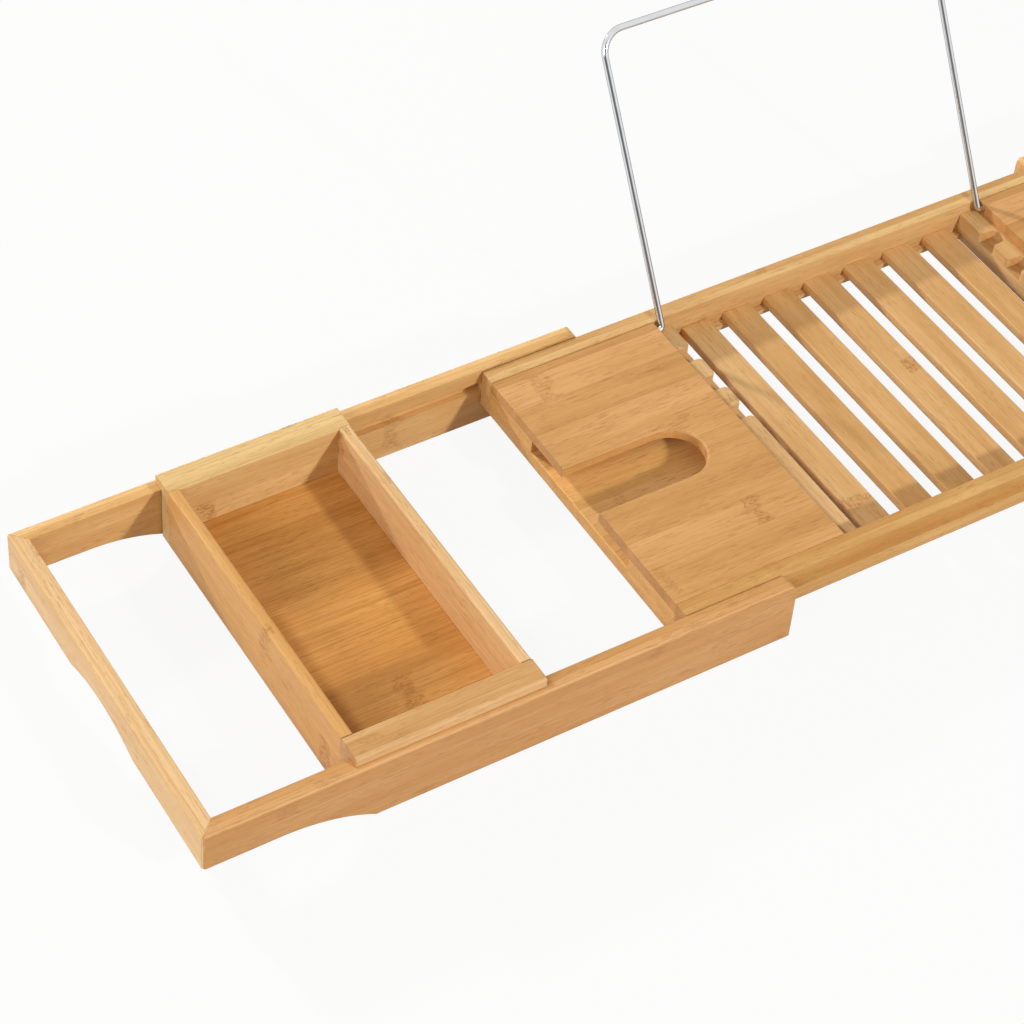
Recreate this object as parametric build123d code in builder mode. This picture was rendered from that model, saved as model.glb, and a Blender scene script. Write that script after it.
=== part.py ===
"""Extending bath caddy: a slatted centre frame, two sliding arms with trays, and a wire book rest.

Lengths are in millimetres. X runs along the caddy, Y from the bather's side to the far side, Z up.
The origin is the middle of the deck, on the top face of the middle slat.
Each paired piece is made once for the left end and mirrored for the right end.
"""

import os
from math import acos, atan2, cos, degrees, hypot, sin

from build123d import *

os.makedirs("parts", exist_ok=True)

# Arms: two side rails and an end bar, mitred at the corners and open towards the centre
overall_depth = 230.0
arm_reach = 520.0
arm_overlap = 64.5
arm_wall = 9.5
arm_height = 40.5
arm_end_height = 25.5
shallow_length = 44.0
curve_length = 55.0
arm_edge_round = 1.8
arm_nose_round = 5.0
corner_bevel = 1.5
finger_arch_width = 72.0
finger_arch_rise = 7.5

# Tongue on the centre rails, which slides in a groove in the arm rails
side_gap = 0.5
groove_depth = 4.5
groove_height = 7.0
groove_top_wall = 9.6
tongue_gap = 0.3
tongue_tip_gap = 0.5
arm_travel = 160.0
groove_end_gap = 3.0

# Centre frame
centre_length = 458.0
centre_rail_width = 10.0
centre_rail_height = 25.0
centre_rail_drop = 1.0
centre_rail_round = 0.6

# Glass holder at each end of the centre frame
panel_length = 109.6
panel_thickness = 7.0
panel_recess = 0.5
glass_slot_width = 37.5
glass_slot_length = 80.0
slot_edge_round = 1.8
foot_board_thickness = 8.5
foot_pocket_width = 100.0
inner_spacer_length = 16.6
board_edge_round = 1.0

# Notched battens beside the slats, which reach a little way under the panels
batten_width = 13.1
batten_lap = 5.0
notch_count = 3
notch_pitch = 26.3
notch_depth = 6.8
notch_width = 11.0
notch_reach = 11.5
first_notch_offset = 21.0
notch_end_round = 4.8
notch_mouth_round = 2.8

# Slats, and the ledges under their ends
slat_count = 7
slat_width_share = 0.646
slat_end_gap_share = 0.2925
slat_thickness = 5.5
slat_drop = 14.5
slat_edge_round = 1.0
ledge_width = 4.5
ledge_height = 3.2

# Wire book rest, hinged by its turned-out feet in the glass holder panels
wire_diameter = 4.0
wire_leg_inset = 3.9
wire_height = 178.0
wire_top_bend = 14.0
wire_foot_bend = 3.2
wire_foot_length = 13.0
wire_rail_distance = 4.6
wire_rest_gap = 0.15
foot_hole_clearance = 0.05
foot_hole_end_gap = 1.0

# Lift-out tray that hangs by its lips on the arm rails
tray_width = 112.2
tray_outer_gap = 77.9
tray_side_wall = 7.0
tray_end_wall = 8.6
tray_end_gap = 0.8
tray_lip_overlap = 6.5
tray_lip_thickness = 6.4
tray_lip_gap = 0.3
tray_height = 42.0
tray_edge_round = 1.5
tray_floor_thickness = 6.5
tray_floor_recess = 2.0

# Countersunk screws that hold the foot boards to the spacers
screw_diameter = 3.4
screw_head_diameter = 7.0
screw_head_height = 2.2
screw_length = 14.0
screw_sink = 0.4
drive_slot_width = 1.0
drive_slot_length = 4.0
drive_slot_depth = 1.3

# Levels and faces that follow from the sizes above
slat_top = 0.0
slat_bottom = slat_top - slat_thickness
centre_top = slat_top + slat_drop
arm_top = centre_top + centre_rail_drop
arm_bottom = arm_top - arm_height
outer_face = overall_depth / 2
arm_inner_face = outer_face - arm_wall
centre_face = arm_inner_face - side_gap
well_face = centre_face - centre_rail_width
groove_top = arm_top - groove_top_wall
groove_bottom = groove_top - groove_height
groove_face = arm_inner_face + groove_depth
tongue_top = groove_top - tongue_gap
tongue_bottom = groove_bottom + tongue_gap
tongue_face = groove_face - tongue_tip_gap
centre_bottom = centre_top - centre_rail_height
centre_end = centre_length / 2
panel_top = centre_top - panel_recess
panel_bottom = panel_top - panel_thickness
panel_inner_end = centre_end - panel_length
foot_board_top = centre_bottom + foot_board_thickness
pocket_side = foot_pocket_width / 2
batten_top = panel_bottom
batten_inner_end = panel_inner_end - batten_width
batten_outer_end = panel_inner_end + batten_lap
pocket_end = batten_outer_end + inner_spacer_length
slat_pitch = 2 * batten_inner_end / (slat_count - 1 + slat_width_share + 2 * slat_end_gap_share)
slat_width = slat_pitch * slat_width_share
arm_shallow_edge = arm_top - arm_end_height
arm_bar_face = arm_reach - arm_wall
arm_nose = centre_end - arm_overlap
curve_start = arm_reach - shallow_length
curve_end = curve_start - curve_length
groove_end = centre_end + arm_travel + groove_end_gap
tray_outer_end = arm_bar_face - tray_outer_gap
tray_inner_end = tray_outer_end - tray_width
tray_lip_bottom = arm_top + tray_lip_gap
tray_top = tray_lip_bottom + tray_lip_thickness
tray_bottom = tray_top - tray_height
tray_wall_face = arm_inner_face - tray_end_gap
tray_inside_face = tray_wall_face - tray_end_wall
tray_lip_face = arm_inner_face + tray_lip_overlap
wire_radius = wire_diameter / 2
wire_half_span = panel_inner_end - wire_leg_inset
wire_axis_y = well_face - wire_rail_distance
wire_axis_z = (panel_top + panel_bottom) / 2
wire_foot_end = wire_half_span + wire_foot_length


def save(piece, label):
    """Name a finished piece and write its own file."""
    piece.part.label = label
    export_step(piece.part, "parts/" + label + ".step")


def save_pair(piece, name):
    """Write a piece of the left end, and its mirror image for the right end."""
    save(piece, "left_" + name)
    with BuildPart() as twin:
        mirror(piece.part, about=Plane.YZ)
    save(twin, "right_" + name)


def board(x_span, y_span, z_span):
    """A straight board, given by the two faces that bound it along each axis."""
    with BuildPart() as piece:
        with BuildSketch(Plane.XY.offset(z_span[0])):
            with Locations((sum(x_span) / 2, sum(y_span) / 2)):
                Rectangle(x_span[1] - x_span[0], y_span[1] - y_span[0])
        extrude(amount=z_span[1] - z_span[0])
    return piece


def centre_rail(side):
    """Centre rail with its sliding tongue; side is 1 for the rear and -1 for the front."""
    with BuildPart() as rail:
        with BuildSketch(Plane.YZ.offset(-centre_end)):
            with BuildLine():
                Polyline(
                    (side * well_face, centre_bottom),
                    (side * centre_face, centre_bottom),
                    (side * centre_face, tongue_bottom),
                    (side * tongue_face, tongue_bottom),
                    (side * tongue_face, tongue_top),
                    (side * centre_face, tongue_top),
                    (side * centre_face, centre_top),
                    (side * well_face, centre_top),
                    close=True,
                )
            make_face()
            fillet(vertices().group_by(Axis.Y)[-1], centre_rail_round)
        extrude(amount=centre_length)
    return rail


save(centre_rail(1), "rear_rail")
save(centre_rail(-1), "front_rail")

# Glass holder panel: open slot for the stem, and the hole for a foot of the book rest
with BuildPart() as left_panel:
    with BuildSketch(Plane.XY.offset(panel_bottom)):
        with Locations(((-centre_end - panel_inner_end) / 2, 0)):
            Rectangle(panel_length, 2 * well_face)
        straight_length = glass_slot_length - glass_slot_width / 2
        with Locations((-centre_end + straight_length / 2, 0)):
            Rectangle(straight_length, glass_slot_width, mode=Mode.SUBTRACT)
        with Locations((-centre_end + straight_length, 0)):
            Circle(glass_slot_width / 2, mode=Mode.SUBTRACT)
    extrude(amount=panel_thickness)
    top_edges = faces().sort_by(Axis.Z)[-1].edges()
    slot_edges = top_edges.filter_by(GeomType.CIRCLE)
    slot_edges += top_edges.filter_by(Axis.X).sort_by(lambda edge: abs(edge.center().Y))[0:2]
    fillet(slot_edges, slot_edge_round)
    hole_depth = wire_foot_end + foot_hole_end_gap - panel_inner_end
    with BuildSketch(Plane.YZ.offset(-panel_inner_end)):
        with Locations((wire_axis_y, wire_axis_z)):
            Circle(wire_radius + foot_hole_clearance)
    extrude(amount=-hole_depth, mode=Mode.SUBTRACT)
save_pair(left_panel, "panel")

# Screws: each has a cone head, a round shank and a straight drive slot
screw_bottom = centre_bottom + screw_sink
shank_start = screw_bottom + screw_head_height
screw_x = (centre_end + batten_outer_end) / 2
screw_y = (pocket_side + well_face) / 2
left_screw_spots = [(-screw_x, -screw_y), (-screw_x, screw_y)]
with BuildPart() as screw:
    with BuildSketch(Plane.XZ):
        with BuildLine():
            Polyline(
                (0, screw_bottom),
                (screw_head_diameter / 2, screw_bottom),
                (screw_diameter / 2, shank_start),
                (screw_diameter / 2, screw_bottom + screw_length),
                (0, screw_bottom + screw_length),
                close=True,
            )
        make_face()
    revolve(axis=Axis.Z)
with BuildPart() as left_screws:
    with Locations(*left_screw_spots):
        add(screw.part)
with BuildPart() as board_screws:
    add(left_screws.part)
    mirror(left_screws.part, about=Plane.YZ)
    slot_spots = left_screw_spots + [(-spot[0], spot[1]) for spot in left_screw_spots]
    with BuildSketch(Plane.XY.offset(screw_bottom)):
        with Locations(*slot_spots):
            Rectangle(drive_slot_length, drive_slot_width)
    extrude(amount=drive_slot_depth, mode=Mode.SUBTRACT)
save(board_screws, "board_screws")

# Board under the glass holder, with countersunk screw holes
with BuildPart() as left_foot_board:
    with BuildSketch(Plane.XY.offset(centre_bottom)):
        with Locations(((-centre_end - batten_outer_end) / 2, 0)):
            Rectangle(centre_end - batten_outer_end, 2 * well_face)
    extrude(amount=foot_board_thickness)
    outer_edge = edges().group_by(Axis.X)[0].filter_by(Axis.Y).sort_by(Axis.Z)[-1]
    fillet(outer_edge, board_edge_round)
    with BuildSketch(Plane.XY.offset(centre_bottom)):
        with Locations(*left_screw_spots):
            Circle(screw_head_diameter / 2)
    extrude(amount=screw_sink, mode=Mode.SUBTRACT)
    add(left_screws.part, mode=Mode.SUBTRACT)
save_pair(left_foot_board, "foot_board")

# Spacers between the two boards leave a pocket for the foot of a glass
spacer_span = (foot_board_top, panel_bottom)
spacer_x_span = (-centre_end, -batten_outer_end)
for place, y_span in (("front", (-well_face, -pocket_side)), ("rear", (pocket_side, well_face))):
    with BuildPart() as left_spacer:
        add(board(spacer_x_span, y_span, spacer_span).part)
        add(left_screws.part, mode=Mode.SUBTRACT)
    save_pair(left_spacer, place + "_spacer")
inner_spacer = board((-pocket_end, -batten_outer_end), (-pocket_side, pocket_side), spacer_span)
save_pair(inner_spacer, "inner_spacer")

# Notched batten: notches milled down from its top, open towards the slats, with round corners
notch_bottom = batten_top - notch_depth
with BuildPart() as left_batten:
    add(board((-batten_outer_end, -batten_inner_end), (-well_face, well_face), (centre_bottom, notch_bottom)).part)
    with BuildSketch(Plane.XY.offset(notch_bottom)):
        with Locations((-(batten_outer_end + batten_inner_end) / 2, 0)):
            Rectangle(batten_outer_end - batten_inner_end, 2 * well_face)
        for index in range(notch_count):
            notch_y = well_face - first_notch_offset - notch_width / 2 - index * notch_pitch
            with Locations((-batten_inner_end - notch_reach / 2, notch_y)):
                Rectangle(notch_reach, notch_width, mode=Mode.SUBTRACT)
        fillet(vertices().group_by(Axis.X)[1], notch_end_round)
        fillet(vertices().group_by(Axis.X)[-1].sort_by(Axis.Y)[1:-1], notch_mouth_round)
    extrude(amount=notch_depth)
save_pair(left_batten, "batten")

# Slats, spaced evenly about the middle, and the ledges under their ends
for index in range(slat_count):
    slat_x = (index - (slat_count - 1) / 2) * slat_pitch
    with BuildPart() as slat:
        with BuildSketch(Plane.XZ.offset(-well_face)):
            with Locations((slat_x, (slat_top + slat_bottom) / 2)):
                Rectangle(slat_width, slat_thickness)
            fillet(vertices().group_by(Axis.Y)[-1], slat_edge_round)
        extrude(amount=2 * well_face)
    save(slat, "slat_" + str(index + 1))

ledge_x_span = (-batten_inner_end, batten_inner_end)
ledge_z_span = (slat_bottom - ledge_height, slat_bottom)
save(board(ledge_x_span, (well_face - ledge_width, well_face), ledge_z_span), "rear_ledge")
save(board(ledge_x_span, (-well_face, -well_face + ledge_width), ledge_z_span), "front_ledge")

# Wire book rest: one bent rod that leans back on the inner top edge of the rear rail
edge_y = well_face + centre_rail_round - wire_axis_y
edge_z = centre_top - centre_rail_round - wire_axis_z
reach_to_edge = wire_radius + centre_rail_round + wire_rest_gap
lean = acos(reach_to_edge / hypot(edge_y, edge_z)) - atan2(edge_z, edge_y)
wire_plane = Plane(
    origin=(0, wire_axis_y, wire_axis_z),
    x_dir=(1, 0, 0),
    z_dir=(0, -cos(lean), sin(lean)),
)
with BuildPart() as book_rest_wire:
    with BuildLine(wire_plane) as wire_path:
        FilletPolyline(
            (-wire_foot_end, 0),
            (-wire_half_span, 0),
            (-wire_half_span, wire_height),
            (wire_half_span, wire_height),
            (wire_half_span, 0),
            (wire_foot_end, 0),
            radius=(wire_foot_bend, wire_top_bend, wire_top_bend, wire_foot_bend),
        )
    with BuildSketch(Plane(origin=wire_path.line @ 0, z_dir=wire_path.line % 0)):
        Circle(wire_radius)
    sweep()
save(book_rest_wire, "book_rest_wire")
print("book rest leans back", round(degrees(lean), 2), "degrees")


def arm_rail(side):
    """Left arm's side rail; side is 1 for the rear and -1 for the front."""
    with BuildPart() as rail:
        # Side view, with the underside curving from the shallow end to the deep middle
        with BuildSketch(Plane.XZ.offset(-side * arm_inner_face)):
            with BuildLine():
                Polyline(
                    (-curve_end, arm_bottom),
                    (-arm_nose, arm_bottom),
                    (-arm_nose, arm_top),
                    (-arm_reach, arm_top),
                    (-arm_reach, arm_shallow_edge),
                    (-curve_start, arm_shallow_edge),
                )
                TangentArc((-curve_start, arm_shallow_edge), (-curve_end, arm_bottom), tangent=(1, 0))
            make_face()
            nose_corner = vertices().group_by(Axis.X)[-1].sort_by(Axis.Y)[-1]
            fillet(nose_corner, arm_nose_round)
        extrude(amount=-side * arm_wall)
        # Cross-section, with the rounded outer top edge and the groove
        with BuildSketch(Plane.YZ.offset(-arm_reach)):
            with Locations((side * (arm_inner_face + outer_face) / 2, (arm_top + arm_bottom) / 2)):
                Rectangle(arm_wall, arm_height)
            outer_top = vertices().group_by(Axis.Y)[-1].sort_by(Axis.X)[-1 if side > 0 else 0]
            fillet(outer_top, arm_edge_round)
        extrude(amount=arm_reach - arm_nose, mode=Mode.INTERSECT)
        with BuildSketch(Plane.YZ.offset(-groove_end)):
            with Locations((side * (arm_inner_face + groove_depth / 2), (groove_top + groove_bottom) / 2)):
                Rectangle(groove_depth, groove_height)
        extrude(amount=groove_end - arm_nose, mode=Mode.SUBTRACT)
        # Mitre against the end bar, and the bevel down the outer corner
        with BuildSketch(Plane.XY.offset(arm_bottom)):
            with BuildLine():
                Polyline(
                    (-arm_reach, side * outer_face),
                    (-arm_bar_face, side * arm_inner_face),
                    (-arm_reach, side * arm_inner_face),
                    close=True,
                )
            make_face()
            with BuildLine():
                Polyline(
                    (-arm_reach, side * outer_face),
                    (-arm_reach + corner_bevel, side * outer_face),
                    (-arm_reach, side * (outer_face - corner_bevel)),
                    close=True,
                )
            make_face()
        extrude(amount=arm_height, mode=Mode.SUBTRACT)
    return rail


save_pair(arm_rail(1), "arm_rear_rail")
save_pair(arm_rail(-1), "arm_front_rail")

# End bar of the arm, with a shallow arch under it for the fingers
with BuildPart() as left_end_bar:
    with BuildSketch(Plane.YZ.offset(-arm_reach)):
        with BuildLine():
            Line((-outer_face, arm_shallow_edge), (-finger_arch_width / 2, arm_shallow_edge))
            ThreePointArc(
                (-finger_arch_width / 2, arm_shallow_edge),
                (0, arm_shallow_edge + finger_arch_rise),
                (finger_arch_width / 2, arm_shallow_edge),
            )
            Polyline(
                (finger_arch_width / 2, arm_shallow_edge),
                (outer_face, arm_shallow_edge),
                (outer_face, arm_top),
                (-outer_face, arm_top),
                (-outer_face, arm_shallow_edge),
            )
        make_face()
    extrude(amount=arm_wall)
    with BuildSketch(Plane.XZ.offset(-outer_face)):
        with Locations((-(arm_reach + arm_bar_face) / 2, (arm_top + arm_bottom) / 2)):
            Rectangle(arm_wall, arm_height)
        fillet(vertices().group_by(Axis.Y)[-1].sort_by(Axis.X)[0], arm_edge_round)
    extrude(amount=overall_depth, mode=Mode.INTERSECT)
    with BuildSketch(Plane.XY.offset(arm_bottom)):
        with BuildLine():
            Polyline(
                (-arm_reach + corner_bevel / 2, -outer_face + corner_bevel / 2),
                (-arm_bar_face, -arm_inner_face),
                (-arm_bar_face, arm_inner_face),
                (-arm_reach + corner_bevel / 2, outer_face - corner_bevel / 2),
                (-arm_reach, outer_face - corner_bevel),
                (-arm_reach, -outer_face + corner_bevel),
                close=True,
            )
        make_face()
    extrude(amount=arm_height, mode=Mode.INTERSECT)
save_pair(left_end_bar, "arm_end_bar")


def tray_end(side):
    """Tray wall with the lip that rests on an arm rail; side is 1 for the rear, -1 for the front."""
    with BuildPart() as piece:
        with BuildSketch(Plane.YZ.offset(-tray_outer_end)):
            with BuildLine():
                Polyline(
                    (side * tray_inside_face, tray_bottom),
                    (side * tray_wall_face, tray_bottom),
                    (side * tray_wall_face, tray_lip_bottom),
                    (side * tray_lip_face, tray_lip_bottom),
                    (side * tray_lip_face, tray_top),
                    (side * tray_inside_face, tray_top),
                    close=True,
                )
            make_face()
            fillet(vertices().group_by(Axis.Y)[-1], tray_edge_round)
        extrude(amount=tray_width)
    return piece


save_pair(tray_end(1), "tray_rear_wall")
save_pair(tray_end(-1), "tray_front_wall")

tray_y_span = (-tray_inside_face, tray_inside_face)
for place, wall_start in (("outer", -tray_outer_end), ("inner", -tray_inner_end - tray_side_wall)):
    with BuildPart() as tray_side:
        with BuildSketch(Plane.XZ.offset(-tray_inside_face)):
            with Locations((wall_start + tray_side_wall / 2, (tray_top + tray_bottom) / 2)):
                Rectangle(tray_side_wall, tray_height)
            fillet(vertices().group_by(Axis.Y)[-1], tray_edge_round)
        extrude(amount=2 * tray_inside_face)
    save_pair(tray_side, "tray_" + place + "_wall")

floor_x_span = (-tray_outer_end + tray_side_wall, -tray_inner_end - tray_side_wall)
floor_bottom = tray_bottom + tray_floor_recess
floor_z_span = (floor_bottom, floor_bottom + tray_floor_thickness)
save_pair(board(floor_x_span, tray_y_span, floor_z_span), "tray_floor")
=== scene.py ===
"""Extending bath caddy: finishes, book rest wire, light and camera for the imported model.

Lengths are in metres in the frame of the model, and those whose names end in MM in millimetres.
X runs along the caddy, Y from the bather's side to the far side, Z up.
"""

import math

import bpy
from mathutils import Matrix, Vector


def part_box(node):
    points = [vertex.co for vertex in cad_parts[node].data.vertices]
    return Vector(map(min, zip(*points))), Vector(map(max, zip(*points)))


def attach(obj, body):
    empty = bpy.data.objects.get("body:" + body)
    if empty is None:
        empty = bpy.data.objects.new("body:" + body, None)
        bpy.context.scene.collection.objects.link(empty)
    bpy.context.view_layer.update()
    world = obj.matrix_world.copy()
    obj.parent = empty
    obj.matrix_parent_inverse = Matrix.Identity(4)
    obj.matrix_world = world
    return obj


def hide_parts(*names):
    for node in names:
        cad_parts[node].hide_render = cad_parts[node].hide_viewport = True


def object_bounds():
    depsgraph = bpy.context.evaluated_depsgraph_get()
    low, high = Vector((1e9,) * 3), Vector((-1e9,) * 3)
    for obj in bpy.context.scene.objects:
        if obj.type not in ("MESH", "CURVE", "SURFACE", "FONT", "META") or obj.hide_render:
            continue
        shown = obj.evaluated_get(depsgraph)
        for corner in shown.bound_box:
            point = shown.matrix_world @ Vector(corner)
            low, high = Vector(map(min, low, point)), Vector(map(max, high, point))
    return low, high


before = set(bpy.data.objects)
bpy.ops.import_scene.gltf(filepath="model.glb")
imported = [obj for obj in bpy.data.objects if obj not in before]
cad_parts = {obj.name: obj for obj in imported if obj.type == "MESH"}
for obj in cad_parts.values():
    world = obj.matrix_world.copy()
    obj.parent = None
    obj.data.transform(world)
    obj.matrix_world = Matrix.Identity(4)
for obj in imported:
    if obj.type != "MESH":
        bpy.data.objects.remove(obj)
cad_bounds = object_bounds()

MM = 0.001

# Camera, solved from the straight edges in the photograph
PHOTO_SIDE = 1024
SENSOR_WIDTH_MM = 36.0
FOCAL_PIXELS = 3007.88
OPTICAL_CENTRE = (411.05, 387.21)
CAMERA_AIM = Vector((-0.2634, 0.1256, 0.0))
CAMERA_DISTANCE = 1.7215
CAMERA_AZIMUTH = math.radians(-32.076)
CAMERA_ELEVATION = math.radians(44.068)
CAMERA_ROLL = math.radians(3.101)

# Studio: a white room with a paper floor. Gloss sees the room as white, but for one dim side.
FLOOR_SIDE = 12.0
FLOOR_CLEARANCE = 0.2 * MM
FLOOR_COLOUR = "CECECE"
FLOOR_ROUGHNESS = 0.9
FLOOR_WHITE_SHARE = 0.92
ROOM_COLOUR = "FFF3E3"
ROOM_STRENGTH = 0.33
BACKGROUND_COLOUR = "FFFFFF"
BACKGROUND_STRENGTH = 1.0
DIM_SIDE = Vector((-0.62, -0.77, 0.12))
DIM_SIDE_INNER_ANGLE = math.radians(12)
DIM_SIDE_OUTER_ANGLE = math.radians(58)
DIM_SIDE_STRENGTH = 0.18

# Lamps, as the photograph's shadows show: one low in front, one low behind, and a wide fill
LAMP_AIM = Vector((-0.15, 0.0, 0.0))
LAMP_DISTANCE = 2.6
# Each lamp: the way to it from the caddy, its side in metres, and its power in watts
LAMPS = {
    "front_softbox": (Vector((0.52, -1.70, 1.0)), 0.16, 42),
    "back_left_softbox": (Vector((-0.87, 2.40, 1.0)), 0.16, 50),
    "left_fill": (Vector((-1.2, -0.25, 0.6)), 1.2, 24),
}

# Book rest wire: bends as in the construction model, and the sides of its round section
WIRE_TOP_BEND_MM = 14.0
WIRE_FOOT_BEND_MM = 3.2
WIRE_FOOT_LENGTH_MM = 13.0
WIRE_DIAMETER_MM = 4.0
WIRE_SIDES = 28
WIRE_BEND_STEPS = 12
# Its path has six points, numbered from 0; the top corners are the two nearest the middle
WIRE_PATH_MIDDLE = 2.5
WIRE_TOP_CORNER_REACH = 1.0

# Marks in the bamboo: how long each is along the grain, and how wide across it. Real fibre
# bundles are 0.2 to 0.4 mm wide; streaks, dashes and strokes are drawn wider, so that they show.
DRIFT_MM = (80.0, 9.0)
STREAK_MM = (60.0, 1.1)
DASH_MM = (8.0, 0.8)
DASH_PATCH_MM = (34.0, 10.0)
KNUCKLE_STROKE_MM = (2.6, 1.1)
# The levels of their noise between which they fade in
DRIFT_FADE = (0.3, 0.7)
STREAK_FADE = (0.40, 0.72)
DASH_FADE = (0.56, 0.66)
DASH_PATCH_FADE = (0.35, 0.65)
KNUCKLE_STROKE_FADE = (0.47, 0.58)
# How much of their colour shows, with the least and the most where it varies
STREAK_SHARE = 0.20
DASH_SHARE = (0.10, 0.40)
KNUCKLE_SHARE = (0.07, 0.7)
KNUCKLE_GROUND_SHARE = 0.2
GLUE_LINE_SHARE = 0.24
END_GRAIN_SHARE = 0.26
# A strip's tone: how much of it is slow drift and not its own chance, and where its dark, middle
# and pale colours lie on it
DRIFT_SHARE = 0.5
TONE_STOPS = (0.15, 0.5, 0.85)
# The furthest apart along the stalk that two neighbouring strips were cut
STALK_OFFSET_MM = 900.0
# Knuckles: one every 220 mm, in a band that fades out between these distances from its middle.
# It wanders this far, in bends of this size, and its strength goes by the strip's chance.
KNUCKLE_HALF_SPACING_MM = 110.0
KNUCKLE_BAND_MM = (2.5, 6.0)
KNUCKLE_WAVER_MM = 16.0
KNUCKLE_BEND_MM = 9.0
KNUCKLE_CHANCE = (0.3, 0.9)
# Half the width of a glue line, drawn wider than a real one, so that it shows
GLUE_LINE_MM = 0.35
# How squarely a face looks along the grain, from where end grain begins to where it is full
END_GRAIN_FACING = (0.7, 0.95)
# Satin lacquer: a little rougher over the fibre bundles, which stand up in it, and rubbed down
# at the edges
LACQUER_ROUGHNESS = (0.44, 0.60)
LACQUER_IOR = 1.5
LACQUER_SPECULAR = 0.3
RUBBED_EDGE_MM = 0.8
RUBBED_EDGE_SAMPLES = 6
FIBRE_RELIEF_MM = 0.05
FIBRE_RELIEF_STRENGTH = 0.5

KNUCKLE_COLOUR = "A2652C"
# The bamboo of each kind of piece:
#   grain     the axis that it runs along
#   strip_mm  the width of a strip, and where one begins, outwards from the middle
#   layer_mm  the depth of a layer, and where one begins, upwards
#   step      how much paler every other strip is
#   streaks   how much the fine streaks show
#   colours   dark, middle and pale
#   fibre     the colour of streaks, fibre bundles, glue lines and end grain
BAMBOOS = {
    "front_rail": {
        "grain": "X", "strip_mm": (5.0, 0.0), "layer_mm": (26.0, 1.5), "step": 0.12,
        "colours": ("C48F50", "CD9E5D", "DAAE6E"), "fibre": "9F6A33",
    },
    "rear_rail": {
        "grain": "X", "strip_mm": (5.0, 0.0), "layer_mm": (26.0, 1.5), "step": 0.12,
        "colours": ("CE9E61", "DAAD72", "E6C185"), "fibre": "9F6A33",
    },
    "panel": {
        "grain": "X", "strip_mm": (21.0, 5.0), "layer_mm": (40.0, -6.0),
        "colours": ("C08D51", "CE9B5E", "DCA86D"), "fibre": "9F6831",
    },
    "board": {
        "grain": "X", "strip_mm": (50.0, 0.0), "layer_mm": (4.25, -10.5),
        "colours": ("E2AD66", "EEBA72", "F8C682"), "fibre": "A46D33",
    },
    # Painted light: the arm bamboo is toned paler, to lift the shade on the arms' inner faces
    "arm": {
        "grain": "X", "strip_mm": (4.75, 1.0), "layer_mm": (24.0, 3.5), "step": 0.16,
        "colours": ("D4A262", "E1B270", "F0C588"), "fibre": "A06E3E",
    },
    # Painted shade: a darker copy of the arm bamboo, for the arms' fully lit front faces
    "front_arm": {
        "grain": "X", "strip_mm": (4.75, 1.0), "layer_mm": (24.0, 3.5), "step": 0.16,
        "colours": ("C79156", "CF9A5D", "D9A76D"), "fibre": "9B6839",
    },
    # Painted shade: a darker copy of the arm bamboo, for the tray's fully lit front wall
    "tray_front": {
        "grain": "X", "strip_mm": (4.75, 1.0), "layer_mm": (24.0, 3.5), "step": 0.16,
        "colours": ("C59159", "D0A166", "DEB27D"), "fibre": "A06E3E",
    },
    # Painted light: a paler copy of the arm bamboo, to lift the shade on the rear wall inside the
    # tray
    "tray_rear": {
        "grain": "X", "strip_mm": (4.75, 1.0), "layer_mm": (24.0, 3.5), "step": 0.12,
        "colours": ("DDB97D", "E5C285", "EDCD94"), "fibre": "A37342",
    },
    # Partly the battens' own paler wood, partly painted light: paler still, to lift the shade that
    # the panel's edge casts on them
    "batten": {
        "grain": "Y", "strip_mm": (25.0, 0.0), "layer_mm": (12.0, -4.0),
        "colours": ("CFA46A", "DEB47A", "ECC38C"), "fibre": "9F6831",
    },
    "tray_wall": {
        "grain": "Y", "strip_mm": (4.4, 2.0), "layer_mm": (24.0, 3.5), "step": 0.06,
        "colours": ("D29A56", "D7A15C", "DEAA67"), "fibre": "A06E3E",
    },
    # Partly the crosspieces' own paler wood, partly painted light: paler still, to brighten their
    # faces towards the left
    "pale_crosspiece": {
        "grain": "Y", "strip_mm": (4.4, 2.0), "layer_mm": (24.0, 3.5), "step": 0.06,
        "colours": ("DFB47F", "E5BD87", "EDC795"), "fibre": "A37342",
    },
    "slat": {
        "grain": "Y", "strip_mm": (29.4, 14.7), "layer_mm": (30.0, -15.0), "streaks": 0.22,
        "colours": ("C49558", "D5A66B", "E0B67D"), "fibre": "A5723C",
    },
    "tray_floor": {
        "grain": "X", "strip_mm": (23.0, 4.0), "layer_mm": (40.0, -31.3), "streaks": 0.34,
        "colours": ("C88C43", "D3974E", "DEA55C"), "fibre": "925E27",
    },
}

# Chrome plate, the faint unevenness left by drawing the wire, and a painted dark edge reflection
CHROME_COLOURS = ("D2D5D8", "E4E6E8")
CHROME_PAINTED_EDGE_REFLECTION = "5A5C60"
CHROME_ROUGHNESS = (0.04, 0.09)
DRAWING_MARK_MM = 6.0

# Zinc plate, and its turning marks, drawn coarser than real ones, so that they show
ZINC_COLOURS = ("A9ABAA", "C8CAC8")
ZINC_ROUGHNESS = 0.35
TURNING_MARK_MM = 0.8

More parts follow.
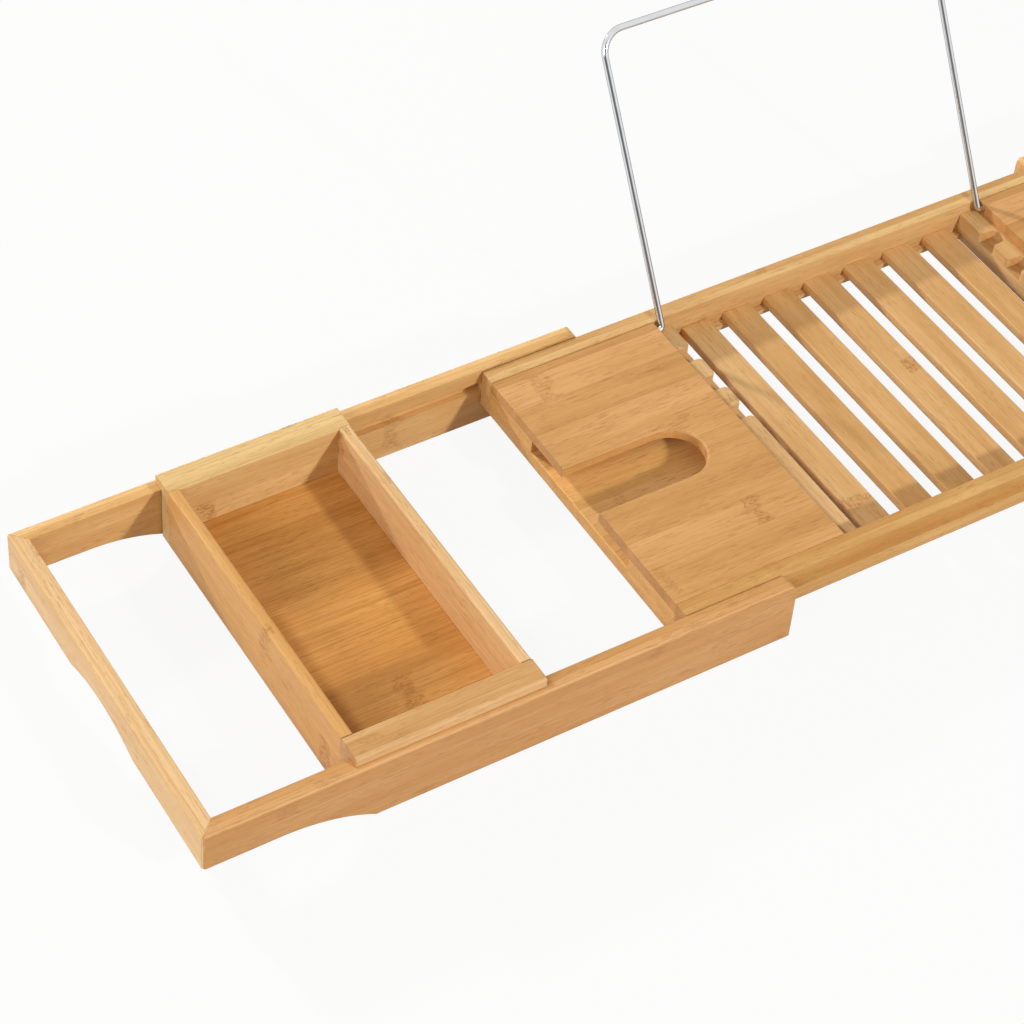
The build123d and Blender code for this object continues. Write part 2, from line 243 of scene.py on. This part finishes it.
# Which bamboo, or other finish, goes on the nodes whose names hold these words; the first counts
FINISHES = (
    ("slat_", "slat"),
    ("batten", "batten"),
    ("end_bar", "pale_crosspiece"),
    ("outer_wall", "tray_wall"),
    ("inner_wall", "pale_crosspiece"),
    ("tray_floor", "tray_floor"),
    ("tray_rear_wall", "tray_rear"),
    ("tray_front_wall", "tray_front"),
    ("arm_front", "front_arm"),
    ("arm_", "arm"),
    ("panel", "panel"),
    ("foot_board", "board"),
    ("spacer", "board"),
    ("front_", "front_rail"),
    ("rear_", "rear_rail"),
    ("wire", "chrome"),
    ("screws", "zinc"),
)

# Node settings that come up again and again
SMOOTH_STEP = {"interpolation_type": "SMOOTHSTEP"}
MIXED_COLOUR = {"data_type": "RGBA"}
MIXED_NUMBER = {"data_type": "FLOAT"}


def linear(hex_colour):
    """An sRGB hex colour as linear red, green, blue and full alpha."""
    values = []
    for start in (0, 2, 4):
        share = int(hex_colour[start:start + 2], 16) / 255
        values.append(share / 12.92 if share <= 0.04045 else ((share + 0.055) / 1.055) ** 2.4)
    return (*values, 1.0)


def add_node(tree, kind, settings=None, inputs=None):
    """Add a node; inputs maps its sockets to values, or to the sockets that feed them."""
    node = tree.nodes.new(kind)
    for key, value in (settings or {}).items():
        setattr(node, key, value)
    for key, value in (inputs or {}).items():
        if isinstance(value, bpy.types.NodeSocket):
            tree.links.new(value, node.inputs[key])
        else:
            node.inputs[key].default_value = value
    return node


def new_material(name):
    """An empty material with its tree and its Principled shader."""
    material = bpy.data.materials.new(name)
    material.use_nodes = True
    tree = material.node_tree
    tree.nodes.clear()
    shader = add_node(tree, "ShaderNodeBsdfPrincipled")
    add_node(tree, "ShaderNodeOutputMaterial", inputs={"Surface": shader.outputs[0]})
    return material, tree, shader


def grain_marks(tree, place, size_mm, detail, roughness=0.5, distortion=0.0):
    """Noise drawn out along the grain, in marks of the given length and width."""
    length, width = size_mm
    drawn_out = add_node(tree, "ShaderNodeMapping", inputs={
        "Vector": place,
        "Scale": (1 / length, 1 / width, 1 / width),
    })
    marks = add_node(tree, "ShaderNodeTexNoise", inputs={
        "Vector": drawn_out.outputs[0],
        "Scale": 1.0,
        "Detail": detail,
        "Roughness": roughness,
        "Distortion": distortion,
    })
    return marks.outputs["Fac"]


def glued_strips(tree, place, strip_mm, layer_mm):
    """How many strips from the middle a place is, that strip's whole number, and its chances."""
    strip_width, strip_start = strip_mm
    layer_depth, layer_start = layer_mm
    parts = add_node(tree, "ShaderNodeSeparateXYZ", inputs={0: place})
    out = add_node(tree, "ShaderNodeMath", {"operation": "ABSOLUTE"}, {0: parts.outputs["Y"]})
    across = add_node(tree, "ShaderNodeMath", {"operation": "MULTIPLY_ADD"}, {
        0: out.outputs[0],
        1: 1 / strip_width,
        2: -strip_start / strip_width,
    })
    up = add_node(tree, "ShaderNodeMath", {"operation": "MULTIPLY_ADD"}, {
        0: parts.outputs["Z"],
        1: 1 / layer_depth,
        2: -layer_start / layer_depth,
    })
    row = add_node(tree, "ShaderNodeMath", {"operation": "FLOOR"}, {0: across.outputs[0]})
    level = add_node(tree, "ShaderNodeMath", {"operation": "FLOOR"}, {0: up.outputs[0]})
    half = add_node(tree, "ShaderNodeMath", {"operation": "SIGN"}, {0: parts.outputs["Y"]})
    number = add_node(tree, "ShaderNodeCombineXYZ", inputs={
        0: row.outputs[0],
        1: level.outputs[0],
        2: half.outputs[0],
    })
    chances = add_node(tree, "ShaderNodeTexWhiteNoise", {"noise_dimensions": "3D"}, {
        "Vector": number.outputs[0],
    })
    return across.outputs[0], row.outputs[0], chances


def strip_tones(tree, stalk, row, chances, step, colours):
    """A strip's own tone with a slow drift along it, every other strip paler by the step."""
    drift = add_node(tree, "ShaderNodeMapRange", inputs={
        "Value": grain_marks(tree, stalk, DRIFT_MM, detail=3.0),
        "From Min": DRIFT_FADE[0],
        "From Max": DRIFT_FADE[1],
    })
    own_tone = add_node(tree, "ShaderNodeMix", MIXED_NUMBER, {
        "Factor": DRIFT_SHARE,
        "A": chances.outputs["Value"],
        "B": drift.outputs[0],
    })
    other = add_node(tree, "ShaderNodeMath", {"operation": "PINGPONG"}, {0: row, 1: 1.0})
    tone = add_node(tree, "ShaderNodeMath", {"operation": "MULTIPLY_ADD"}, {
        0: other.outputs[0],
        1: step,
        2: own_tone.outputs[0],
    })
    ramp = add_node(tree, "ShaderNodeValToRGB", inputs={"Fac": tone.outputs[0]})
    stops = ramp.color_ramp.elements
    stops[0].position, stops[1].position = TONE_STOPS[0], TONE_STOPS[2]
    stops.new(TONE_STOPS[1])
    for stop, colour in zip(stops, colours):
        stop.color = linear(colour)
    return ramp.outputs["Color"]


def fibre_dashes(tree, marks, stalk):
    """How much dark fibre shows: bundles cut open, thick in some patches and thin in others."""
    patch = add_node(tree, "ShaderNodeMapRange", inputs={
        "Value": grain_marks(tree, stalk, DASH_PATCH_MM, detail=1.0),
        "From Min": DASH_PATCH_FADE[0],
        "From Max": DASH_PATCH_FADE[1],
        "To Min": DASH_SHARE[0],
        "To Max": DASH_SHARE[1],
    })
    dashes = add_node(tree, "ShaderNodeMapRange", SMOOTH_STEP, {
        "Value": marks,
        "From Min": DASH_FADE[0],
        "From Max": DASH_FADE[1],
        "To Max": patch.outputs[0],
    })
    return dashes.outputs[0]


def knuckles(tree, stalk, chances):
    """How much knuckle shows: a wavering band of short dark strokes across each strip."""
    waver = add_node(tree, "ShaderNodeTexNoise", inputs={
        "Vector": stalk,
        "Scale": 1 / KNUCKLE_BEND_MM,
        "Detail": 1.0,
    })
    wavering = add_node(tree, "ShaderNodeVectorMath", {"operation": "MULTIPLY_ADD"}, {
        0: waver.outputs["Color"],
        1: (KNUCKLE_WAVER_MM, 0.0, 0.0),
        2: stalk,
    })
    parts = add_node(tree, "ShaderNodeSeparateXYZ", inputs={0: wavering.outputs[0]})
    away = add_node(tree, "ShaderNodeMath", {"operation": "PINGPONG"}, {
        0: parts.outputs["X"],
        1: KNUCKLE_HALF_SPACING_MM,
    })
    band = add_node(tree, "ShaderNodeMapRange", SMOOTH_STEP, {
        "Value": away.outputs[0],
        "From Min": KNUCKLE_BAND_MM[0],
        "From Max": KNUCKLE_BAND_MM[1],
        "To Min": 1.0,
        "To Max": 0.0,
    })
    own_chance = add_node(tree, "ShaderNodeSeparateColor", inputs={0: chances.outputs["Color"]})
    strong = add_node(tree, "ShaderNodeMapRange", inputs={
        "Value": own_chance.outputs["Green"],
        "From Min": KNUCKLE_CHANCE[0],
        "From Max": KNUCKLE_CHANCE[1],
        "To Min": KNUCKLE_SHARE[0],
        "To Max": KNUCKLE_SHARE[1],
    })
    ground = add_node(tree, "ShaderNodeMath", {"operation": "MULTIPLY"}, {
        0: strong.outputs[0],
        1: KNUCKLE_GROUND_SHARE,
    })
    strokes = add_node(tree, "ShaderNodeMapRange", SMOOTH_STEP, {
        "Value": grain_marks(
            tree, stalk, KNUCKLE_STROKE_MM, detail=2.0, roughness=0.6, distortion=0.7),
        "From Min": KNUCKLE_STROKE_FADE[0],
        "From Max": KNUCKLE_STROKE_FADE[1],
        "To Min": ground.outputs[0],
        "To Max": strong.outputs[0],
    })
    knuckle = add_node(tree, "ShaderNodeMath", {"operation": "MULTIPLY"}, {
        0: band.outputs[0],
        1: strokes.outputs[0],
    })
    return knuckle.outputs[0]


def laminated_bamboo(
        name, grain, strip_mm, layer_mm, colours, fibre, step=0.0, streaks=STREAK_SHARE):
    """Laminated bamboo under satin lacquer.

    Bamboo is sawn into strips, planed and glued side by side, so neighbours differ a little in
    tone, with a dark glue line between them. Along the grain run streaks and short dark fibre
    bundles, and where the stalk had a joint a strip has a knuckle. The lacquer is rubbed down,
    so edges are soft and reflections blurred.
    """
    material, tree, shader = new_material(name)
    surface = add_node(tree, "ShaderNodeTexCoord")
    # After this, lengths are in millimetres, with the grain along the first axis
    along = add_node(tree, "ShaderNodeMapping", inputs={
        "Vector": surface.outputs["Object"],
        "Rotation": (0.0, 0.0, math.radians(90) if grain == "Y" else 0.0),
        "Scale": (1 / MM, 1 / MM, 1 / MM),
    })
    across, row, chances = glued_strips(tree, along.outputs[0], strip_mm, layer_mm)
    # Each strip is cut from another place along the stalk
    cut = add_node(tree, "ShaderNodeVectorMath", {"operation": "MULTIPLY_ADD"}, {
        0: chances.outputs["Color"],
        1: (STALK_OFFSET_MM, 0.0, 0.0),
        2: along.outputs[0],
    })
    stalk = cut.outputs[0]

    streak = add_node(tree, "ShaderNodeMapRange", SMOOTH_STEP, {
        "Value": grain_marks(tree, stalk, STREAK_MM, detail=2.0, roughness=0.6),
        "From Min": STREAK_FADE[0],
        "From Max": STREAK_FADE[1],
        "To Max": streaks,
    })
    dash_marks = grain_marks(tree, stalk, DASH_MM, detail=1.0)
    strip_edge = add_node(tree, "ShaderNodeMath", {"operation": "PINGPONG"}, {0: across, 1: 0.5})
    glue_line = add_node(tree, "ShaderNodeMapRange", SMOOTH_STEP, {
        "Value": strip_edge.outputs[0],
        "From Max": GLUE_LINE_MM / strip_mm[0],
        "To Min": GLUE_LINE_SHARE,
        "To Max": 0.0,
    })
    # End grain drinks the lacquer, and is darker
    facing = add_node(tree, "ShaderNodeSeparateXYZ", inputs={0: surface.outputs["Normal"]})
    end_on = add_node(tree, "ShaderNodeMath", {"operation": "ABSOLUTE"}, {
        0: facing.outputs[grain],
    })
    end_grain = add_node(tree, "ShaderNodeMapRange", SMOOTH_STEP, {
        "Value": end_on.outputs[0],
        "From Min": END_GRAIN_FACING[0],
        "From Max": END_GRAIN_FACING[1],
        "To Max": END_GRAIN_SHARE,
    })

    colour = strip_tones(tree, stalk, row, chances, step, colours)
    for share, stain in (
        (streak.outputs[0], fibre),
        (fibre_dashes(tree, dash_marks, stalk), fibre),
        (knuckles(tree, stalk, chances), KNUCKLE_COLOUR),
        (glue_line.outputs[0], fibre),
        (end_grain.outputs[0], fibre),
    ):
        stained = add_node(tree, "ShaderNodeMix", MIXED_COLOUR, {
            "Factor": share,
            "A": colour,
            "B": linear(stain),
        })
        colour = stained.outputs[2]
    tree.links.new(colour, shader.inputs["Base Color"])

    # The lacquer's roughness and relief follow the fibre bundles
    rough = add_node(tree, "ShaderNodeMapRange", inputs={
        "Value": dash_marks,
        "To Min": LACQUER_ROUGHNESS[0],
        "To Max": LACQUER_ROUGHNESS[1],
    })
    tree.links.new(rough.outputs[0], shader.inputs["Roughness"])
    shader.inputs["IOR"].default_value = LACQUER_IOR
    shader.inputs["Specular IOR Level"].default_value = LACQUER_SPECULAR
    rubbed_edge = add_node(tree, "ShaderNodeBevel", {"samples": RUBBED_EDGE_SAMPLES}, {
        "Radius": RUBBED_EDGE_MM * MM,
    })
    relief = add_node(tree, "ShaderNodeBump", inputs={
        "Height": dash_marks,
        "Distance": FIBRE_RELIEF_MM * MM,
        "Strength": FIBRE_RELIEF_STRENGTH,
        "Normal": rubbed_edge.outputs[0],
    })
    tree.links.new(relief.outputs[0], shader.inputs["Normal"])
    return material


def mottle_metal(tree, shader, mark_mm, detail, colours):
    """Make the shader a metal, its colour between two as its marks go; returns those marks."""
    place = add_node(tree, "ShaderNodeTexCoord").outputs["Object"]
    marks = add_node(tree, "ShaderNodeTexNoise", inputs={
        "Vector": place,
        "Scale": 1 / (mark_mm * MM),
        "Detail": detail,
    })
    tint = add_node(tree, "ShaderNodeMix", MIXED_COLOUR, {
        "Factor": marks.outputs["Fac"],
        "A": linear(colours[0]),
        "B": linear(colours[1]),
    })
    tree.links.new(tint.outputs[2], shader.inputs["Base Color"])
    shader.inputs["Metallic"].default_value = 1.0
    return marks.outputs["Fac"]


def chrome_plate():
    """Polished chrome over drawn steel wire: mirror bright and faintly uneven, with a painted dark
    reflection at its edges.
    """
    material, tree, shader = new_material("polished_chrome_wire")
    marks = mottle_metal(tree, shader, DRAWING_MARK_MM, 2.0, CHROME_COLOURS)
    rough = add_node(tree, "ShaderNodeMapRange", inputs={
        "Value": marks,
        "To Min": CHROME_ROUGHNESS[0],
        "To Max": CHROME_ROUGHNESS[1],
    })
    tree.links.new(rough.outputs[0], shader.inputs["Roughness"])
    # Painted reflection: the edge tint greys the wire's edges, as dark surroundings would in a
    # mirror
    shader.inputs["Specular Tint"].default_value = linear(CHROME_PAINTED_EDGE_REFLECTION)
    return material


def zinc_plate():
    """Zinc-plated steel screws: dull grey, mottled by fine turning marks."""
    material, tree, shader = new_material("zinc_plated_screw")
    mottle_metal(tree, shader, TURNING_MARK_MM, 3.0, ZINC_COLOURS)
    shader.inputs["Roughness"].default_value = ZINC_ROUGHNESS
    return material


finishes = {
    kind: laminated_bamboo("laminated_bamboo_" + kind, **values)
    for kind, values in BAMBOOS.items()
}
finishes["chrome"] = chrome_plate()
finishes["zinc"] = zinc_plate()
for node_name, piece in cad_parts.items():
    finish = next(finishes[kind] for words, kind in FINISHES if words in node_name)
    for slot in piece.material_slots:
        slot.material = finish


def bent_wire_tree():
    """Geometry nodes that bend a bare path at its corners and give it a round section."""
    tree = bpy.data.node_groups.new("bent_wire", "GeometryNodeTree")
    tree.interface.new_socket("Path", in_out="INPUT", socket_type="NodeSocketGeometry")
    for label, kind in (
        ("Diameter", "NodeSocketFloat"),
        ("Foot Bend", "NodeSocketFloat"),
        ("Top Bend", "NodeSocketFloat"),
        ("Sides", "NodeSocketInt"),
        ("Bend Steps", "NodeSocketInt"),
        ("Plating", "NodeSocketMaterial"),
    ):
        tree.interface.new_socket(label, in_out="INPUT", socket_type=kind)
    tree.interface.new_socket("Wire", in_out="OUTPUT", socket_type="NodeSocketGeometry")
    given = add_node(tree, "NodeGroupInput")
    centre_line = add_node(tree, "GeometryNodeMeshToCurve", inputs={"Mesh": given.outputs["Path"]})
    # Only the feet and the top have corners, and the two kinds bend differently
    corner = add_node(tree, "GeometryNodeInputIndex")
    from_middle = add_node(tree, "ShaderNodeMath", {"operation": "SUBTRACT"}, {
        0: corner.outputs[0],
        1: WIRE_PATH_MIDDLE,
    })
    how_far = add_node(tree, "ShaderNodeMath", {"operation": "ABSOLUTE"}, {
        0: from_middle.outputs[0],
    })
    is_top = add_node(tree, "ShaderNodeMath", {"operation": "LESS_THAN"}, {
        0: how_far.outputs[0],
        1: WIRE_TOP_CORNER_REACH,
    })
    bend = add_node(tree, "ShaderNodeMix", MIXED_NUMBER, {
        "Factor": is_top.outputs[0],
        "A": given.outputs["Foot Bend"],
        "B": given.outputs["Top Bend"],
    })
    bent = add_node(tree, "GeometryNodeFilletCurve", {"mode": "POLY"}, {
        "Curve": centre_line.outputs[0],
        "Radius": bend.outputs[0],
        "Count": given.outputs["Bend Steps"],
    })
    radius = add_node(tree, "ShaderNodeMath", {"operation": "MULTIPLY"}, {
        0: given.outputs["Diameter"],
        1: 0.5,
    })
    section = add_node(tree, "GeometryNodeCurvePrimitiveCircle", inputs={
        "Resolution": given.outputs["Sides"],
        "Radius": radius.outputs[0],
    })
    round_wire = add_node(tree, "GeometryNodeCurveToMesh", inputs={
        "Curve": bent.outputs[0],
        "Profile Curve": section.outputs[0],
        "Fill Caps": True,
    })
    smooth = add_node(tree, "GeometryNodeSetShadeSmooth", inputs={
        "Geometry": round_wire.outputs[0],
    })
    real = add_node(tree, "GeometryNodeRealizeInstances", inputs={"Geometry": smooth.outputs[0]})
    plated = add_node(tree, "GeometryNodeSetMaterial", inputs={
        "Geometry": real.outputs[0],
        "Material": given.outputs["Plating"],
    })
    add_node(tree, "NodeGroupOutput", inputs={0: plated.outputs[0]})
    return tree


def bent_wire(name, path, sizes):
    """A wire along a path, as a plain mesh; sizes maps the tree's named inputs to values."""
    path_mesh = bpy.data.meshes.new(name + "_path")
    path_mesh.from_pydata(path, [(index, index + 1) for index in range(len(path) - 1)], [])
    path_object = bpy.data.objects.new(name + "_path", path_mesh)
    bpy.context.scene.collection.objects.link(path_object)
    modifier = path_object.modifiers.new("bent_wire", "NODES")
    modifier.node_group = bent_wire_tree()
    for item in modifier.node_group.interface.items_tree:
        if item.name in sizes:
            modifier[item.identifier] = sizes[item.name]
    evaluated = path_object.evaluated_get(bpy.context.evaluated_depsgraph_get())
    wire_mesh = bpy.data.meshes.new_from_object(evaluated)
    bpy.data.objects.remove(path_object)
    wire = bpy.data.objects.new(name, wire_mesh)
    bpy.context.scene.collection.objects.link(wire)
    return wire


# Book rest: the polished wire, on the centre line of the construction model's wire
wire_low, wire_high = (Vector(corner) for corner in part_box("book_rest_wire"))
wire_radius = WIRE_DIAMETER_MM * MM / 2
foot_x = wire_high.x
leg_x = foot_x - WIRE_FOOT_LENGTH_MM * MM
foot_y = wire_low.y + wire_radius
foot_z = wire_low.z + wire_radius
top_y = wire_high.y - wire_radius
top_z = wire_high.z - wire_radius
book_rest = bent_wire("book_rest_polished_wire", [
    (-foot_x, foot_y, foot_z),
    (-leg_x, foot_y, foot_z),
    (-leg_x, top_y, top_z),
    (leg_x, top_y, top_z),
    (leg_x, foot_y, foot_z),
    (foot_x, foot_y, foot_z),
], {
    "Diameter": WIRE_DIAMETER_MM * MM,
    "Foot Bend": WIRE_FOOT_BEND_MM * MM,
    "Top Bend": WIRE_TOP_BEND_MM * MM,
    "Sides": WIRE_SIDES,
    "Bend Steps": WIRE_BEND_STEPS,
    "Plating": finishes["chrome"],
})
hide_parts("book_rest_wire")
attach(book_rest, "book_rest")


def sees_background(tree):
    """A socket that is 1 for the rays that show the background: camera, gloss and glass."""
    rays = add_node(tree, "ShaderNodeLightPath")
    direct = add_node(tree, "ShaderNodeMath", {"operation": "MAXIMUM"}, {
        0: rays.outputs["Is Camera Ray"],
        1: rays.outputs["Is Glossy Ray"],
    })
    through = add_node(tree, "ShaderNodeMath", {"operation": "MAXIMUM"}, {
        0: direct.outputs[0],
        1: rays.outputs["Is Transmission Ray"],
    })
    return through.outputs[0]


# Paper floor under the caddy; camera and gloss see it nearly white, with the caddy's shadow
half_floor = FLOOR_SIDE / 2
floor_level = cad_bounds[0][2] - FLOOR_CLEARANCE
floor_mesh = bpy.data.meshes.new("studio_floor")
floor_mesh.from_pydata([
    (-half_floor, -half_floor, floor_level),
    (half_floor, -half_floor, floor_level),
    (half_floor, half_floor, floor_level),
    (-half_floor, half_floor, floor_level),
], [], [(0, 1, 2, 3)])
floor = bpy.data.objects.new("studio_floor", floor_mesh)
bpy.context.scene.collection.objects.link(floor)
floor_finish, floor_tree, floor_shader = new_material("white_paper")
floor_shader.inputs["Base Color"].default_value = linear(FLOOR_COLOUR)
floor_shader.inputs["Roughness"].default_value = FLOOR_ROUGHNESS
floor_glow = add_node(floor_tree, "ShaderNodeEmission", inputs={
    "Color": linear(BACKGROUND_COLOUR),
    "Strength": BACKGROUND_STRENGTH,
})
floor_share = add_node(floor_tree, "ShaderNodeMath", {"operation": "MULTIPLY"}, {
    0: sees_background(floor_tree),
    1: FLOOR_WHITE_SHARE,
})
floor_mix = add_node(floor_tree, "ShaderNodeMixShader", inputs={
    0: floor_share.outputs[0],
    1: floor_shader.outputs[0],
    2: floor_glow.outputs[0],
})
floor_output = next(node for node in floor_tree.nodes if node.type == "OUTPUT_MATERIAL")
floor_tree.links.new(floor_mix.outputs[0], floor_output.inputs["Surface"])
floor_mesh.materials.append(floor_finish)

# Room: it lights the caddy evenly. The camera sees the white background, and so does gloss, but
# for the dim side.
world = bpy.data.worlds.new("white_room")
bpy.context.scene.world = world
world.use_nodes = True
world_tree = world.node_tree
world_tree.nodes.clear()
direction = add_node(world_tree, "ShaderNodeTexCoord").outputs["Generated"]
towards_dim_side = add_node(world_tree, "ShaderNodeVectorMath", {"operation": "DOT_PRODUCT"}, {
    0: direction,
    1: DIM_SIDE.normalized(),
})
seen_in_gloss = add_node(world_tree, "ShaderNodeMapRange", SMOOTH_STEP, {
    "Value": towards_dim_side.outputs["Value"],
    "From Min": math.cos(DIM_SIDE_OUTER_ANGLE),
    "From Max": math.cos(DIM_SIDE_INNER_ANGLE),
    "To Min": BACKGROUND_STRENGTH,
    "To Max": DIM_SIDE_STRENGTH,
})
world_rays = add_node(world_tree, "ShaderNodeLightPath")
background_strength = add_node(world_tree, "ShaderNodeMix", MIXED_NUMBER, {
    "Factor": world_rays.outputs["Is Camera Ray"],
    "A": seen_in_gloss.outputs[0],
    "B": BACKGROUND_STRENGTH,
})
room = add_node(world_tree, "ShaderNodeBackground", inputs={
    "Color": linear(ROOM_COLOUR),
    "Strength": ROOM_STRENGTH,
})
background = add_node(world_tree, "ShaderNodeBackground", inputs={
    "Color": linear(BACKGROUND_COLOUR),
    "Strength": background_strength.outputs[0],
})
room_or_background = add_node(world_tree, "ShaderNodeMixShader", inputs={
    0: sees_background(world_tree),
    1: room.outputs[0],
    2: background.outputs[0],
})
add_node(world_tree, "ShaderNodeOutputWorld", inputs={"Surface": room_or_background.outputs[0]})


def softbox(name, towards, side, watts):
    """A square soft lamp in the given direction from the caddy, facing it."""
    lamp = bpy.data.lights.new(name, "AREA")
    lamp.shape = "SQUARE"
    lamp.size = side
    lamp.energy = watts
    holder = bpy.data.objects.new(name, lamp)
    bpy.context.scene.collection.objects.link(holder)
    place = Matrix.Translation(LAMP_AIM + towards.normalized() * LAMP_DISTANCE)
    holder.matrix_world = place @ (-towards).to_track_quat("-Z", "Y").to_matrix().to_4x4()


for lamp_name, lamp_values in LAMPS.items():
    softbox(lamp_name, *lamp_values)

# Camera at the photograph's viewing angle
flat_reach = CAMERA_DISTANCE * math.cos(CAMERA_ELEVATION)
camera_place = CAMERA_AIM + Vector((
    flat_reach * math.sin(CAMERA_AZIMUTH),
    -flat_reach * math.cos(CAMERA_AZIMUTH),
    CAMERA_DISTANCE * math.sin(CAMERA_ELEVATION),
))
camera_data = bpy.data.cameras.new("photo_camera")
camera_data.sensor_width = SENSOR_WIDTH_MM
camera_data.lens = FOCAL_PIXELS / PHOTO_SIDE * SENSOR_WIDTH_MM
camera_data.shift_x = (PHOTO_SIDE / 2 - OPTICAL_CENTRE[0]) / PHOTO_SIDE
camera_data.shift_y = (OPTICAL_CENTRE[1] - PHOTO_SIDE / 2) / PHOTO_SIDE
camera = bpy.data.objects.new("photo_camera", camera_data)
bpy.context.scene.collection.objects.link(camera)
level_view = (CAMERA_AIM - camera_place).to_track_quat("-Z", "Y").to_matrix().to_4x4()
roll = Matrix.Rotation(CAMERA_ROLL, 4, "Z")
camera.matrix_world = Matrix.Translation(camera_place) @ level_view @ roll
bpy.context.scene.camera = camera
bpy.context.scene.view_settings.view_transform = "Standard"
